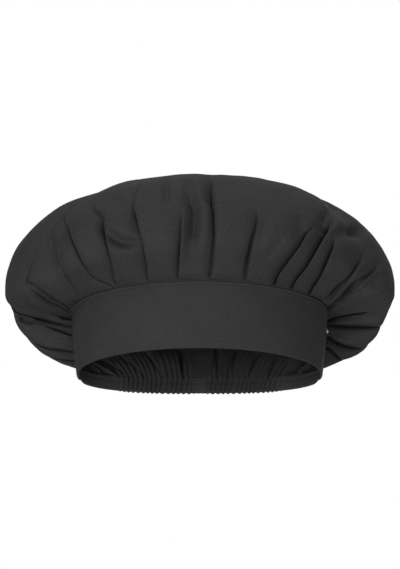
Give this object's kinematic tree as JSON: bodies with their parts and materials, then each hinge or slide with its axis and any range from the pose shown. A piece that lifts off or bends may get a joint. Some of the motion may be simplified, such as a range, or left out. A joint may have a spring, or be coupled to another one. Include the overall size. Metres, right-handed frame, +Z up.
{
  "type": "chef toque",
  "caption": "Low balloon-style chef hat in black twill, with a stiffened front band, a pleated crown and an elasticated gathered hem behind.",
  "frame": {"origin": "middle of the head opening at its widest line, in the plane of the rim", "axes": "+Z up out of the crown, -Y out of the front of the band, +X to the right seen from the front"},
  "size_m": [0.3029, 0.2548, 0.1493],
  "materials": {
    "black_twill": "matte",
    "interlining": "matte",
    "elastic": "matte",
    "thread": "satin",
    "label_ribbon": "satin"
  },
  "bodies": {
    "hat": {"crown": "black_twill", "band_outer": "black_twill", "band_interlining": "interlining", "band_facing": "black_twill", "band_topstitch": "thread", "left_end_bartack": "thread", "right_end_bartack": "thread", "size_label": "label_ribbon"},
    "rear_hem": {"rear_casing": "black_twill", "rear_elastic": "elastic", "casing_stitch": "thread", "left_elastic_tack": "thread", "right_elastic_tack": "thread"}
  },
  "joints": [
    {"name": "rear_stretch", "type": "slide", "parent": "hat", "child": "rear_hem", "axis": [0, 1, 0], "range_m": [0, 0.02], "stiffness_N_per_m": 150, "deforming": ["crown"]}
  ]
}
